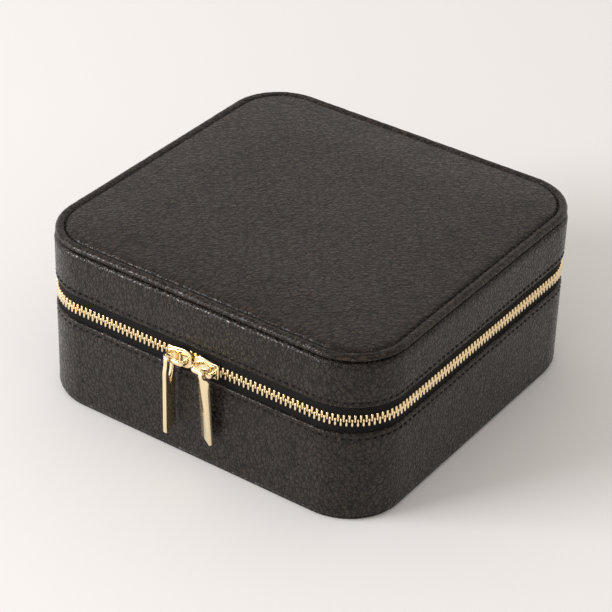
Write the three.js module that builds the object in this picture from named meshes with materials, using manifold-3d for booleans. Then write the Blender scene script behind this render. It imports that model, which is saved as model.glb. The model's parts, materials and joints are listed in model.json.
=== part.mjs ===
// Square leather jewellery case with rounded corners: a stiffened base tray and a lid joined by a
// leather gusset at the back, closed by a metal zip with two sliders that meet at the front.
// Millimetres, +Z up. The origin is the centre of the underside; the front is -Y.

import * as THREE from 'three';
import { mergeVertices } from 'three/addons/utils/BufferGeometryUtils.js';
import Module from 'manifold-3d';

const wasm = await Module();
wasm.setup();

// ---------------------------------------------------------------- driving dimensions

const CASE_WIDTH = 190;
const CASE_DEPTH = 186;
const CORNER_RADIUS = 28.6;
const ARC_DIVISIONS = 4;

const ZIP_Z = 54.5;           // height of the zip's centre line
const LEATHER_GAP = 7;        // from the zip's centre line to the leather's edge, each way
const TAPE_REACH = 13;        // from the zip's centre line to the tape's hidden edge
const BOTTOM_PLATE_TOP = 1.9;
const WALL_BOTTOM_Z = 2.2;
const LID_WALL_TOP_Z = 84.2;
const RIM_BOTTOM_Z = 84.5;
const RIM_TOP_Z = 88;
const CROWN_TOP_Z = 89.4;
const GAP = 0.3;              // clearance between pieces that touch

// layers of the wall, measured inwards from the outer surface
const LEATHER = { out: 0, in: 1.1 };
const TAPE = { out: 1.3, in: 1.9 };
const BOARD = { out: 2.2, in: 4.4 };
const LINING = { out: 4.7, in: 6.0 };
const GUSSET_LINING = { out: 6.3, in: 6.9 };

const TEETH = { out: 0.3, in: 2.9 };
const ROW_INNER = GAP / 2;    // each row of teeth, measured from the centre line
const ROW_OUTER = 3.0;
const ROW_SPREAD = 1.6;       // how far the sliders push each row aside
const ZIP_END_X = 60.3;       // the zip ends on the back wall, this far from the middle
const END_STOP_LENGTH = 2.6;

const BOTTOM_PLATE_INSET = 1;
const FLOOR_BOARD_INSET = 1.5;
const FLOOR_BOARD_TOP = 4.4;
const FLOOR_FOAM_TOP = 6.6;
const FLOOR_LINING_BOTTOM = 6.8;
const FLOOR_TOP = 7.6;
const BOARD_BASE_TOP = 46.5;
const LINING_BASE_TOP = 53.5;
const LINING_LID_BOTTOM = 55.5;
const LID_PAD_BOTTOM = 81.5;

// the lid's top: the turned edge, then the part raised inside the line of stitches
const RIM = { inset: 0.6, wall: 1.1, skin: 1.2 };
const CROWN = { inset: 7, wall: 1.2, skin: 1.2 };
const LID_BOARD_INSET = 2;
const GUSSET_LINING_HALF = 56;
const GUSSET_LINING_GAP = 0.5; // between the gusset's lining and the dividers' tops

const DIVIDER = { thickness: 3, top: 43.5 };
const DIVIDER_LONG_X = -18;
const DIVIDER_CROSS_LEFT_Y = 10;
const DIVIDER_CROSS_RIGHT_Y = -10;
const DIVIDER_SHORT_X = 37;

const RING_ROLL = { count: 7, thickness: 12, height: 26, pitch: 13 };

const MIRROR = { width: 140, depth: 136, thickness: 1.6, radius: 10, frame: 6, frameThickness: 2.2 };

const SLIDER = {
  left: { x: -6.5, pullX: -8.9, pullTurn: 0, pullLean: 0 },
  right: { x: 8.5, pullX: 10.6, pullTurn: 68, pullLean: 4.4 }, // leans on the wall
  halfLength: 6.8,
  shoulder: 4.9,
  shoulderX: -2.5,
  nose: 2.6,
  tail: 3.9,
  plate: 1.1,
  channel: 3.2,
  lip: 1.0,
  root: 0.4,                  // how far the wedge and lips reach into the plates
};
const WEDGE = [[-6.4, 1.2], [-4.8, 1.2], [-3, 0.75], [-1.4, 0.12]]; // x and half height
const BRIDGE = { width: 2.2, bar: 1.5, pivotDepth: 5.6, from: -5.8, to: 6.4, leg: 1.2 };

// the pull hangs down from its pivot: a round head, then a blade with a pointed opening at its top
const PULL = {
  width: 7,
  thickness: 2,
  length: 39.2,
  slant: 2.4,
  head: 2.7,
  eye: 1.6,
  bladeFrom: 2,
  bladeTopHalf: 1.8,
  neck: 5,
  openingFrom: 3.6,
  openingTo: 10.7,
};

// ---------------------------------------------------------------- materials

const leather = new THREE.MeshStandardMaterial({ color: 0x2b2724, roughness: 0.6, metalness: 0 });
const board = new THREE.MeshStandardMaterial({ color: 0x8c8376, roughness: 0.9, metalness: 0 });
const foam = new THREE.MeshStandardMaterial({ color: 0xd9d2c4, roughness: 0.95, metalness: 0 });
const suede = new THREE.MeshStandardMaterial({ color: 0x6d5f54, roughness: 0.95, metalness: 0 });
const tape = new THREE.MeshStandardMaterial({ color: 0x141312, roughness: 0.85, metalness: 0 });
const gold = new THREE.MeshStandardMaterial({ color: 0xe2bd78, roughness: 0.18, metalness: 1 });
const mirror = new THREE.MeshStandardMaterial({ color: 0xdfe4e6, roughness: 0.03, metalness: 1 });

// ---------------------------------------------------------------- outlines and solids

const halfWidth = CASE_WIDTH / 2;
const halfDepth = CASE_DEPTH / 2;

// The case's plan, moved inwards by inset.
function planPoints(inset) {
  const radius = CORNER_RADIUS - inset;
  return roundedPoints(CASE_WIDTH - 2 * inset, CASE_DEPTH - 2 * inset, radius);
}

function roundedPoints(width, depth, radius) {
  const x = width / 2 - radius;
  const y = depth / 2 - radius;
  const path = new THREE.Path();
  path.absarc(x, -y, radius, -Math.PI / 2, 0, false);
  path.absarc(x, y, radius, 0, Math.PI / 2, false);
  path.absarc(-x, y, radius, Math.PI / 2, Math.PI, false);
  path.absarc(-x, -y, radius, Math.PI, 1.5 * Math.PI, false);
  return path.getPoints(ARC_DIVISIONS);
}

// The same plan as an open line that starts and ends on the back wall at plus and minus endX.
function zipLine(inset, endX) {
  const radius = CORNER_RADIUS - inset;
  const x = halfWidth - CORNER_RADIUS;
  const y = halfDepth - CORNER_RADIUS;
  const path = new THREE.Path();
  path.moveTo(endX, halfDepth - inset);
  path.absarc(x, y, radius, Math.PI / 2, 0, true);
  path.absarc(x, -y, radius, 0, -Math.PI / 2, true);
  path.absarc(-x, -y, radius, -Math.PI / 2, -Math.PI, true);
  path.absarc(-x, y, radius, Math.PI, Math.PI / 2, true);
  path.lineTo(-endX, halfDepth - inset);
  return path.getPoints(ARC_DIVISIONS);
}

function extrudeUp(shape, low, high) {
  const geometry = new THREE.ExtrudeGeometry(shape, { depth: high - low, bevelEnabled: false });
  return geometry.translate(0, 0, low);
}

function plate(inset, low, high) {
  return extrudeUp(new THREE.Shape(planPoints(inset)), low, high);
}

function ring(layer, low, high) {
  const shape = new THREE.Shape(planPoints(layer.out));
  shape.holes.push(new THREE.Path(planPoints(layer.in)));
  return extrudeUp(shape, low, high);
}

// A strip of wall that is open at the back, from one end of the zip to the other.
function openRing(layer, low, high) {
  const outer = zipLine(layer.out, ZIP_END_X + END_STOP_LENGTH + GAP);
  const inner = zipLine(layer.in, ZIP_END_X + END_STOP_LENGTH + GAP);
  return extrudeUp(new THREE.Shape([...outer, ...inner.reverse()]), low, high);
}

function block(x, y, z) {
  const geometry = new THREE.BoxGeometry(x[1] - x[0], y[1] - y[0], z[1] - z[0]);
  return geometry.translate((x[0] + x[1]) / 2, (y[0] + y[1]) / 2, (z[0] + z[1]) / 2);
}

// A slab drawn in the plane of the front wall, from depth low to depth high in front of it.
function frontSlab(shape, low, high) {
  const geometry = new THREE.ExtrudeGeometry(shape, { depth: high - low, bevelEnabled: false });
  return geometry.rotateX(Math.PI / 2).translate(0, -low, 0);
}

// ---------------------------------------------------------------- joining and cutting

function solidOf(geometry) {
  const bare = geometry.clone();
  bare.deleteAttribute('normal');
  bare.deleteAttribute('uv');
  const merged = mergeVertices(bare, 1e-4);
  return new wasm.Manifold(new wasm.Mesh({
    numProp: 3,
    vertProperties: new Float32Array(merged.attributes.position.array),
    triVerts: new Uint32Array(merged.index.array),
  }));
}

function geometryOf(solid) {
  const mesh = solid.getMesh();
  const geometry = new THREE.BufferGeometry();
  geometry.setAttribute('position', new THREE.BufferAttribute(mesh.vertProperties, 3));
  geometry.setIndex(new THREE.BufferAttribute(mesh.triVerts, 1));
  geometry.computeVertexNormals();
  return geometry;
}

// ---------------------------------------------------------------- the zip

// How far a row of teeth is pushed aside at x: nothing outside the sliders' tails, and the full
// spread between the sliders' shoulders.
function spreadAt(x) {
  const fromLeft = (x - SLIDER.left.x) / (SLIDER.halfLength - 1);
  const fromRight = (SLIDER.right.x - x) / (SLIDER.halfLength - 1);
  const t = Math.min(fromLeft, fromRight);
  return ROW_SPREAD * THREE.MathUtils.smoothstep(t, 0, 1);
}

// A strip of the zip on one side of the centre line. Its near edge is pushed aside by the sliders,
// and its far edge too where the whole strip moves.
function zipStrip(layer, side, near, far, wholeMoves) {
  const from = SLIDER.left.x - 2;
  const to = SLIDER.right.x + 2;
  const steps = 14;
  const nearEdge = [];
  const farEdge = [];
  for (let i = 0; i <= steps; i += 1) {
    const x = THREE.MathUtils.lerp(from, to, i / steps);
    nearEdge.push(new THREE.Vector2(x, side * (near + spreadAt(x))));
    farEdge.push(new THREE.Vector2(x, side * (far + (wholeMoves ? spreadAt(x) : 0))));
  }
  const spread = frontSlab(new THREE.Shape([...nearEdge, ...farEdge.reverse()]), -layer.in, -layer.out);
  spread.translate(0, -halfDepth, ZIP_Z);

  const z = [ZIP_Z + side * near, ZIP_Z + side * far].sort((a, b) => a - b);
  const overlap = 0.5;
  const room = block([from + overlap, to - overlap], [-halfDepth - 1, 5 - halfDepth], [0, RIM_TOP_Z]);
  const straight = solidOf(openRing(layer, z[0], z[1])).subtract(solidOf(room));
  return geometryOf(straight.add(solidOf(spread)));
}

function teethRow(side) {
  return zipStrip(TEETH, side, ROW_INNER, ROW_OUTER, true);
}

function zipTape(side) {
  return zipStrip(TAPE, side, ROW_OUTER + GAP, TAPE_REACH, false);
}

function endStop(side) {
  const x = [side * ZIP_END_X, side * (ZIP_END_X + END_STOP_LENGTH)].sort((a, b) => a - b);
  const y = [halfDepth - TEETH.in, halfDepth - TEETH.out];
  return block(x, y, [ZIP_Z - ROW_OUTER, ZIP_Z + ROW_OUTER]);
}

// The slider seen from the front: wide round shoulders at -x, a narrower tail at +x.
function sliderOutline() {
  const { halfLength, shoulder, shoulderX, nose, tail } = SLIDER;
  const shape = new THREE.Shape();
  shape.moveTo(halfLength - 1, -tail);
  shape.quadraticCurveTo(halfLength, -tail, halfLength, 1 - tail);
  shape.lineTo(halfLength, tail - 1);
  shape.quadraticCurveTo(halfLength, tail, halfLength - 1, tail);
  shape.bezierCurveTo(2, tail, 0, shoulder, shoulderX, shoulder);
  shape.quadraticCurveTo(-halfLength, shoulder, -halfLength, nose);
  shape.lineTo(-halfLength, -nose);
  shape.quadraticCurveTo(-halfLength, -shoulder, shoulderX, -shoulder);
  shape.bezierCurveTo(0, -shoulder, 2, -tail, halfLength - 1, -tail);
  return new THREE.Shape(shape.getPoints(ARC_DIVISIONS));
}

// The wedge between the two plates that parts the rows.
function wedgeOutline() {
  const under = WEDGE.map(([x, half]) => new THREE.Vector2(x, -half));
  const over = WEDGE.map(([x, half]) => new THREE.Vector2(x, half));
  return new THREE.Shape([...under, ...over.reverse()]);
}

function sliderBody() {
  const { halfLength, plate: thickness, channel, lip, root } = SLIDER;
  const outline = sliderOutline();
  const innerFace = -TEETH.in - GAP;
  const between = [innerFace, 0];
  const outerPlate = solidOf(frontSlab(outline, between[1], between[1] + thickness));
  const innerPlate = solidOf(frontSlab(outline, between[0] - thickness, between[0]));
  const wedge = solidOf(frontSlab(wedgeOutline(), between[0] - root, between[1] + root));
  const lips = solidOf(frontSlab(outline, between[1] - lip, between[1] + root))
    .add(solidOf(frontSlab(outline, between[0] - root, between[0] + lip)));
  const deep = [-10, 10];
  const rowsWay = solidOf(block([-halfLength - 1, halfLength + 1], deep, [-channel, channel]));
  const mouth = solidOf(block([-halfLength - 1, 0.4], deep, [-10, 10]));
  const tailLips = lips.subtract(rowsWay).subtract(mouth);
  return geometryOf(outerPlate.add(innerPlate).add(wedge).add(tailLips));
}

// The arch that the pull hangs on, standing on the slider's outer plate.
function sliderBridge() {
  const { width, bar, pivotDepth, from, to, leg } = BRIDGE;
  const foot = -SLIDER.plate;
  const outer = -pivotDepth - bar / 2;
  const inner = -pivotDepth + bar / 2;
  const shape = new THREE.Shape();
  shape.moveTo(from, foot);
  shape.bezierCurveTo(from, outer + 1, from + 0.6, outer, from + 3, outer);
  shape.lineTo(to - 3, outer);
  shape.bezierCurveTo(to - 0.6, outer, to, outer + 1, to, foot);
  shape.lineTo(to - leg, foot);
  shape.bezierCurveTo(to - leg, inner + 0.6, to - leg - 0.2, inner, to - leg - 1, inner);
  shape.lineTo(from + leg + 1, inner);
  shape.bezierCurveTo(from + leg + 0.2, inner, from + leg, inner + 0.6, from + leg, foot);
  const closed = new THREE.Shape(shape.getPoints(ARC_DIVISIONS));
  return extrudeUp(closed, -width / 2, width / 2);
}

// A plate cut from an outline whose x runs down from the pivot and whose y is the case's y.
function hangingPlate(outline) {
  const half = PULL.thickness / 2;
  return solidOf(extrudeUp(outline, -half, half).rotateY(Math.PI / 2));
}

function pullHead() {
  const shape = new THREE.Shape();
  shape.absarc(0, 0, PULL.head, 0, 2 * Math.PI, false);
  const outline = new THREE.Shape(shape.getPoints(2 * ARC_DIVISIONS));
  const eye = new THREE.Path();
  eye.absarc(0, 0, PULL.eye, 0, 2 * Math.PI, true);
  outline.holes.push(new THREE.Path(eye.getPoints(2 * ARC_DIVISIONS)));
  return hangingPlate(outline);
}

function pullBlade() {
  const { width, length, slant, eye, bladeFrom, bladeTopHalf, neck, openingFrom, openingTo } = PULL;
  const half = width / 2;
  const shape = new THREE.Shape();
  shape.moveTo(bladeFrom, -bladeTopHalf);
  shape.quadraticCurveTo(bladeFrom, -half, neck, -half);
  shape.lineTo(length, -half);
  shape.lineTo(length - slant, half);
  shape.lineTo(neck, half);
  shape.quadraticCurveTo(bladeFrom, half, bladeFrom, bladeTopHalf);
  const outline = new THREE.Shape(shape.getPoints(ARC_DIVISIONS));
  outline.holes.push(new THREE.Path([
    new THREE.Vector2(openingFrom, -eye),
    new THREE.Vector2(openingTo, 0),
    new THREE.Vector2(openingFrom, eye),
  ]));
  return hangingPlate(outline);
}

// The long flat pull, its blade turned by some degrees about the upright line through the pivot.
function pullTab(turn) {
  return geometryOf(pullHead().add(pullBlade().rotate([0, 0, turn])));
}

// ---------------------------------------------------------------- the lid's top and lining

// A leather sheet turned down round the board's edge and padded inside its line of stitches.
function lidTopLeather() {
  const below = RIM_TOP_Z - RIM.skin;
  const rim = solidOf(plate(RIM.inset, RIM_BOTTOM_Z, RIM_TOP_Z));
  const boardRoom = solidOf(plate(RIM.inset + RIM.wall, RIM_BOTTOM_Z - 1, below));
  const crown = solidOf(plate(CROWN.inset, below, CROWN_TOP_Z));
  const foamRoom = solidOf(plate(CROWN.inset + CROWN.wall, below - 0.1, CROWN_TOP_Z - CROWN.skin));
  return geometryOf(rim.subtract(boardRoom).add(crown).subtract(foamRoom));
}

function lidTopFoam() {
  const inset = CROWN.inset + CROWN.wall + GAP;
  return plate(inset, RIM_TOP_Z - RIM.skin, CROWN_TOP_Z - CROWN.skin - GAP);
}

function mirrorOutline(margin) {
  return roundedPoints(MIRROR.width + 2 * margin, MIRROR.depth + 2 * margin, MIRROR.radius + margin);
}

function mirrorGlass() {
  const top = LID_PAD_BOTTOM - GAP;
  return extrudeUp(new THREE.Shape(mirrorOutline(0)), top - MIRROR.thickness, top);
}

function mirrorFrame() {
  const shape = new THREE.Shape(mirrorOutline(MIRROR.frame));
  shape.holes.push(new THREE.Path(mirrorOutline(GAP)));
  const top = LID_PAD_BOTTOM - GAP;
  return extrudeUp(shape, top - MIRROR.frameThickness, top);
}

// ---------------------------------------------------------------- the tray's fittings

// How far the lining's rounded corner stands in from the side wall at y.
function cornerCut(y) {
  const radius = CORNER_RADIUS - LINING.in;
  const along = Math.abs(y) - (halfDepth - CORNER_RADIUS);
  return along > 0 ? radius - Math.sqrt(radius * radius - along * along) : 0;
}

function ringRoll(index) {
  const { thickness, height, pitch, count } = RING_ROLL;
  const nearest = DIVIDER_CROSS_LEFT_Y - DIVIDER.thickness / 2 - 1;
  const y = nearest - thickness / 2 - pitch * (count - index);
  const farthestEdge = y - thickness / 2;
  const low = FLOOR_TOP + GAP;
  const radius = thickness / 2;
  const section = new THREE.Shape();
  section.moveTo(-radius, 0);
  section.lineTo(radius, 0);
  section.absarc(0, height - radius, radius, 0, Math.PI, false);
  const left = LINING.in + GAP - halfWidth + cornerCut(farthestEdge);
  const right = DIVIDER_LONG_X - DIVIDER.thickness / 2 - GAP;
  const geometry = new THREE.ExtrudeGeometry(section, {
    depth: right - left,
    bevelEnabled: false,
    curveSegments: 2 * ARC_DIVISIONS,
  });
  return geometry.rotateX(Math.PI / 2).rotateZ(Math.PI / 2).translate(left, y, low);
}

const innerX = halfWidth - LINING.in - GAP;
const innerY = halfDepth - LINING.in - GAP;
const halfDivider = DIVIDER.thickness / 2;

function dividerBlock(x, y) {
  return block(x, y, [FLOOR_TOP + GAP, DIVIDER.top]);
}

// ---------------------------------------------------------------- assembly

function addPiece(group, name, geometry, material) {
  const mesh = new THREE.Mesh(geometry, material);
  mesh.name = name;
  group.add(mesh);
  return mesh;
}

function addBase(group) {
  const low = FLOOR_BOARD_TOP + GAP;
  const inner = LINING.in + GAP;
  addPiece(group, 'base_bottom_leather', plate(BOTTOM_PLATE_INSET, 0, BOTTOM_PLATE_TOP), leather);
  addPiece(group, 'base_floor_board', plate(FLOOR_BOARD_INSET, WALL_BOTTOM_Z, FLOOR_BOARD_TOP), board);
  addPiece(group, 'base_wall_board', ring(BOARD, low, BOARD_BASE_TOP), board);
  addPiece(group, 'base_wall_leather', ring(LEATHER, WALL_BOTTOM_Z, ZIP_Z - LEATHER_GAP), leather);
  addPiece(group, 'base_wall_lining', ring(LINING, low, LINING_BASE_TOP), suede);
  addPiece(group, 'base_floor_foam', plate(inner, low, FLOOR_FOAM_TOP), foam);
  addPiece(group, 'base_floor_lining', plate(inner, FLOOR_LINING_BOTTOM, FLOOR_TOP), suede);
}

function addTrayFittings(group) {
  const longLeft = DIVIDER_LONG_X - halfDivider;
  const longRight = DIVIDER_LONG_X + halfDivider;
  const crossRightBack = DIVIDER_CROSS_RIGHT_Y + halfDivider;
  const shortX = [DIVIDER_SHORT_X - halfDivider, DIVIDER_SHORT_X + halfDivider];
  const spans = {
    divider_long: [[longLeft, longRight], [-innerY, innerY]],
    divider_cross_left: [
      [-innerX, longLeft - GAP],
      [DIVIDER_CROSS_LEFT_Y - halfDivider, DIVIDER_CROSS_LEFT_Y + halfDivider],
    ],
    divider_cross_right: [
      [longRight + GAP, innerX],
      [DIVIDER_CROSS_RIGHT_Y - halfDivider, crossRightBack],
    ],
    divider_short: [shortX, [crossRightBack + GAP, innerY]],
  };
  for (const [name, [x, y]] of Object.entries(spans)) {
    addPiece(group, name, dividerBlock(x, y), suede);
  }
  for (let index = 1; index <= RING_ROLL.count; index += 1) {
    addPiece(group, `ring_roll_${index}`, ringRoll(index), suede);
  }
}

function addHinge(group) {
  const leatherStrip = {
    x: [GAP - ZIP_END_X, ZIP_END_X - GAP],
    y: [halfDepth - TAPE.in, halfDepth - TAPE.out],
    z: [ZIP_Z - TAPE_REACH, ZIP_Z + TAPE_REACH],
  };
  const liningStrip = {
    x: [-GUSSET_LINING_HALF, GUSSET_LINING_HALF],
    y: [halfDepth - GUSSET_LINING.in, halfDepth - GUSSET_LINING.out],
    z: [DIVIDER.top + GUSSET_LINING_GAP, 2 * ZIP_Z - DIVIDER.top - GUSSET_LINING_GAP],
  };
  const strips = { hinge_gusset_leather: leatherStrip, hinge_gusset_lining: liningStrip };
  for (const [name, { x, y, z }] of Object.entries(strips)) {
    addPiece(group, name, block(x, y, z), name.endsWith('lining') ? suede : leather);
  }
}

function addLid(group) {
  const leatherLow = ZIP_Z + LEATHER_GAP;
  addPiece(group, 'lid_wall_leather', ring(LEATHER, leatherLow, LID_WALL_TOP_Z), leather);
  addPiece(group, 'lid_wall_board', ring(BOARD, leatherLow + 1, LID_WALL_TOP_Z), board);
  addPiece(group, 'lid_wall_lining', ring(LINING, LINING_LID_BOTTOM, LID_WALL_TOP_Z), suede);
  addPiece(group, 'lid_top_board', plate(LID_BOARD_INSET, RIM_BOTTOM_Z, RIM_TOP_Z - RIM.skin - GAP), board);
  addPiece(group, 'lid_top_foam', lidTopFoam(), foam);
  addPiece(group, 'lid_top_leather', lidTopLeather(), leather);
  addPiece(group, 'lid_lining_pad', plate(LINING.in + GAP, LID_PAD_BOTTOM, LID_WALL_TOP_Z), suede);
  addPiece(group, 'mirror_glass', mirrorGlass(), mirror);
  addPiece(group, 'mirror_frame', mirrorFrame(), suede);
}

function addZip(group) {
  addPiece(group, 'lower_zip_tape', zipTape(-1), tape);
  addPiece(group, 'upper_zip_tape', zipTape(1), tape);
  addPiece(group, 'lower_teeth_row', teethRow(-1), gold);
  addPiece(group, 'upper_teeth_row', teethRow(1), gold);
  addPiece(group, 'zip_end_stop_left', endStop(-1), gold);
  addPiece(group, 'zip_end_stop_right', endStop(1), gold);
}

// A slider's tail points away from the middle, so the left one is turned round.
function addSlider(group, side, turn) {
  const { x, pullX, pullTurn, pullLean } = SLIDER[side];
  const slider = new THREE.Group();
  slider.position.set(x, -halfDepth, ZIP_Z);
  slider.rotation.y = turn;
  addPiece(slider, `slider_${side}_body`, sliderBody(), gold);
  addPiece(slider, `slider_${side}_bridge`, sliderBridge(), gold);
  group.add(slider);

  const pull = addPiece(group, `pull_${side}_tab`, pullTab(pullTurn), gold);
  pull.position.set(pullX, -halfDepth - BRIDGE.pivotDepth, ZIP_Z);
  pull.rotation.x = THREE.MathUtils.degToRad(pullLean);
}

const jewelleryCase = new THREE.Group();
addBase(jewelleryCase);
addTrayFittings(jewelleryCase);
addHinge(jewelleryCase);
addLid(jewelleryCase);
addZip(jewelleryCase);
addSlider(jewelleryCase, 'left', Math.PI);
addSlider(jewelleryCase, 'right', 0);

export default jewelleryCase;
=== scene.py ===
"""Looks of a square zip-around jewellery case in pebbled black leather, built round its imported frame.

Shapes are worked out in millimetres and made into meshes in metres. A place on the case's wall is
given by way, the distance round the outside from the middle of the front towards +X, by inset, the
distance inwards from the wall's outer surface, and by z, the height above the underside.
"""

import json
import math

import bmesh
import bpy
import numpy as np
from mathutils import Matrix, Vector


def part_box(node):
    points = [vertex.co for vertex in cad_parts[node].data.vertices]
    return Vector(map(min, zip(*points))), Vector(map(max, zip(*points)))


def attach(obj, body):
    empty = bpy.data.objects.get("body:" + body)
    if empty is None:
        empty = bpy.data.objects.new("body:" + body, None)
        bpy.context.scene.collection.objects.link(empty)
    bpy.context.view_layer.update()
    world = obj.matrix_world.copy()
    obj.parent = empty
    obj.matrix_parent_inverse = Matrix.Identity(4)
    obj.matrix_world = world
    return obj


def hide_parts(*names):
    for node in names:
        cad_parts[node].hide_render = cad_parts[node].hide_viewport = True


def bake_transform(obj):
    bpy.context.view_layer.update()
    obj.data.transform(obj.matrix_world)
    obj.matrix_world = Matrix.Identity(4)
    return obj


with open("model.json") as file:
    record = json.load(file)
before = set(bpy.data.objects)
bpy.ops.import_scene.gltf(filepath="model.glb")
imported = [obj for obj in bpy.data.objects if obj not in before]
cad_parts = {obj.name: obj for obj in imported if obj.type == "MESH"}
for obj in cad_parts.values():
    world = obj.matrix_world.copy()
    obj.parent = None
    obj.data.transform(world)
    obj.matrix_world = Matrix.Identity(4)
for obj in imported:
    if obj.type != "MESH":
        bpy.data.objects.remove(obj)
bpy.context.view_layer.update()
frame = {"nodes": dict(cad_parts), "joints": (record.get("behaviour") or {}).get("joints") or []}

MM = 0.001


def box_mm(node):
    """A CAD node's lowest and highest corner, in millimetres."""
    return [np.array(corner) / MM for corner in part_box(node)]


def joint_place(name):
    """A joint's position, in millimetres."""
    found = [joint for joint in frame["joints"] if joint["name"] == name]
    return np.array(found[0]["pos_m"]) / MM


def middle_x(node):
    """The x of a CAD node's middle, in millimetres."""
    low, high = box_mm(node)
    return (low[0] + high[0]) / 2


# -------- sizes, in millimetres

HALF_X, HALF_Y = box_mm("base_wall_leather")[1][:2]
CORNER_RADIUS = 28.6
ZIP_Z = joint_place("lid_hinge")[2]

BASE_EDGE_Z = box_mm("base_wall_leather")[1][2]
LID_EDGE_Z = box_mm("lid_wall_leather")[0][2]
BASE_STITCH_Z = BASE_EDGE_Z - 3.1
LID_STITCH_Z = LID_EDGE_Z + 2.2
RIM_LOW_Z = box_mm("lid_top_leather")[0][2]
RIM_Z = 88.0
RIM_STITCH_INSET = 5.2
STITCH_PITCH = 3.65
STITCH_INSET = 0.42
STITCH_LENGTH, STITCH_RADIUS = 2.6, 0.36
STITCH_LIFT, STITCH_SINK = 0.2, 0.42
GROOVE_DEPTH, GROOVE_WIDTH = 0.6, 0.8

TOOTH_PITCH = 2.54
ZIP_END_X = box_mm("zip_end_stop_right")[1][0] + 0.3
SLIDER_HALF_LENGTH = 6.8
SLIDER_X = {side: middle_x(f"slider_{side}_body") for side in ("left", "right")}
ROW_SPREAD = 1.6
TEETH_INSET = 1.6


def side_inset(node):
    """How far inside the wall's outer surface a node's sides lie."""
    return HALF_X - box_mm(node)[1][0]


# -------- rounded plans

class Plan:
    """A rectangle with round corners, and places on it: a way round it, an inset and a height."""

    DEEPEST = 20.0

    def __init__(self, half_x, half_y, radius):
        self.half_x, self.half_y, self.radius = half_x, half_y, radius
        self.flat_x, self.flat_y = half_x - radius, half_y - radius
        self.arc = radius * math.pi / 2
        self.perimeter = 4 * (self.flat_x + self.flat_y + self.arc)

    def at(self, ways):
        """The outline's points, outward normals and directions at those ways."""
        ways = np.mod(np.asarray(ways, float) + self.flat_x, self.perimeter)
        point = np.zeros((len(ways), 2))
        normal = np.zeros((len(ways), 2))
        corner = np.array([-self.flat_x, -self.half_y])
        start = 0.0
        for side in range(4):
            turn = side * math.pi / 2
            along = np.array([math.cos(turn), math.sin(turn)])
            out = np.array([math.sin(turn), -math.cos(turn)])
            length = 2 * (self.flat_x if side % 2 == 0 else self.flat_y)
            centre = corner + along * length - out * self.radius
            local = ways - start
            flat = (local >= 0) & (local < length)
            point[flat] = corner + np.outer(local[flat], along)
            normal[flat] = out
            bend = (local >= length) & (local < length + self.arc + 1e-9)
            angle = (local[bend] - length) / self.radius
            normal[bend] = np.outer(np.cos(angle), out) + np.outer(np.sin(angle), along)
            point[bend] = centre + self.radius * normal[bend]
            corner = centre + self.radius * along
            start += length + self.arc
        direction = np.stack([-normal[:, 1], normal[:, 0]], axis=1)
        return point, normal, direction

    def frames(self, ways):
        """Directions along the outline, outwards and up, each n by 3."""
        _, normal, direction = self.at(ways)
        flat = np.zeros((len(ways), 1))
        up = np.tile(np.array([0.0, 0.0, 1.0]), (len(ways), 1))
        return np.concatenate([direction, flat], axis=1), np.concatenate([normal, flat], axis=1), up

    def points(self, ways, inset, z):
        """Points n by k by 3, for inset and z that broadcast to n by k."""
        point, normal, _ = self.at(ways)
        inset, z, _ = np.broadcast_arrays(inset, z, np.zeros((len(ways), 1)))
        near = np.minimum(inset, self.DEEPEST)
        flat = point[:, None, :] - near[..., None] * normal[:, None, :]
        share = (self.half_y - np.maximum(inset, self.DEEPEST)) / (self.half_y - self.DEEPEST)
        return np.concatenate([flat * share[..., None], z[..., None]], axis=2)

    def even(self, step):
        """Ways all round the outline, about step apart."""
        count = int(round(self.perimeter / step))
        return np.arange(count) * self.perimeter / count


CASE = Plan(HALF_X, HALF_Y, CORNER_RADIUS)


def zip_ways(step, end_x):
    """Ways along the zip, from end_x on the back wall's left to end_x on its right."""
    reach = CASE.perimeter / 2 - end_x
    count = int(round(2 * reach / step))
    return np.linspace(-reach, reach, count + 1)


# -------- noise

HASH_PRIMES = np.array([73856093, 19349663, 83492791])


def value_noise(points, seed):
    """Smooth noise from -1 to 1 at points of n by 3, with cells of size 1."""
    cell = np.floor(points).astype(np.int64)
    part = points - cell
    part = part * part * (3 - 2 * part)
    total = np.zeros(len(points))
    for corner in range(8):
        offset = np.array([corner & 1, corner >> 1 & 1, corner >> 2 & 1])
        key = (cell + offset) @ HASH_PRIMES + seed * 7919
        key = (key ^ (key >> 13)) * 1274126177
        key = (key ^ (key >> 16)) & 0xFFFFFF
        weight = np.prod(np.where(offset == 1, part, 1 - part), axis=1)
        total += weight * (key / 0x7FFFFF - 1)
    return total


def folds(points, size, seed):
    """Two octaves of noise, with cells of one size or of (x, y, z), in millimetres."""
    scaled = points.reshape(-1, 3) / np.array(size)
    noise = value_noise(scaled, seed) + 0.5 * value_noise(2.1 * scaled, seed + 1)
    return noise.reshape(points.shape[:-1]) / 1.5


def smoothstep(low, high, value):
    t = np.clip((value - low) / (high - low), 0, 1)
    return t * t * (3 - 2 * t)


# -------- making meshes

def new_object(name, data):
    made = bpy.data.objects.new(name, data)
    bpy.context.scene.collection.objects.link(made)
    return made


def mesh_piece(name, points, faces, material, smooth=True, sharp_angle=None):
    """A mesh object from points in millimetres."""
    mesh = bpy.data.meshes.new(name)
    mesh.from_pydata((np.asarray(points).reshape(-1, 3) * MM).tolist(), [], faces)
    tidy = bmesh.new()
    tidy.from_mesh(mesh)
    bmesh.ops.remove_doubles(tidy, verts=tidy.verts, dist=1e-7)
    bmesh.ops.recalc_face_normals(tidy, faces=tidy.faces)
    tidy.to_mesh(mesh)
    tidy.free()
    piece = new_object(name, mesh)
    mesh.materials.append(material)
    if smooth:
        mesh.shade_smooth()
    if sharp_angle is not None:
        mesh.set_sharp_from_angle(angle=math.radians(sharp_angle))
    return piece


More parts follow.
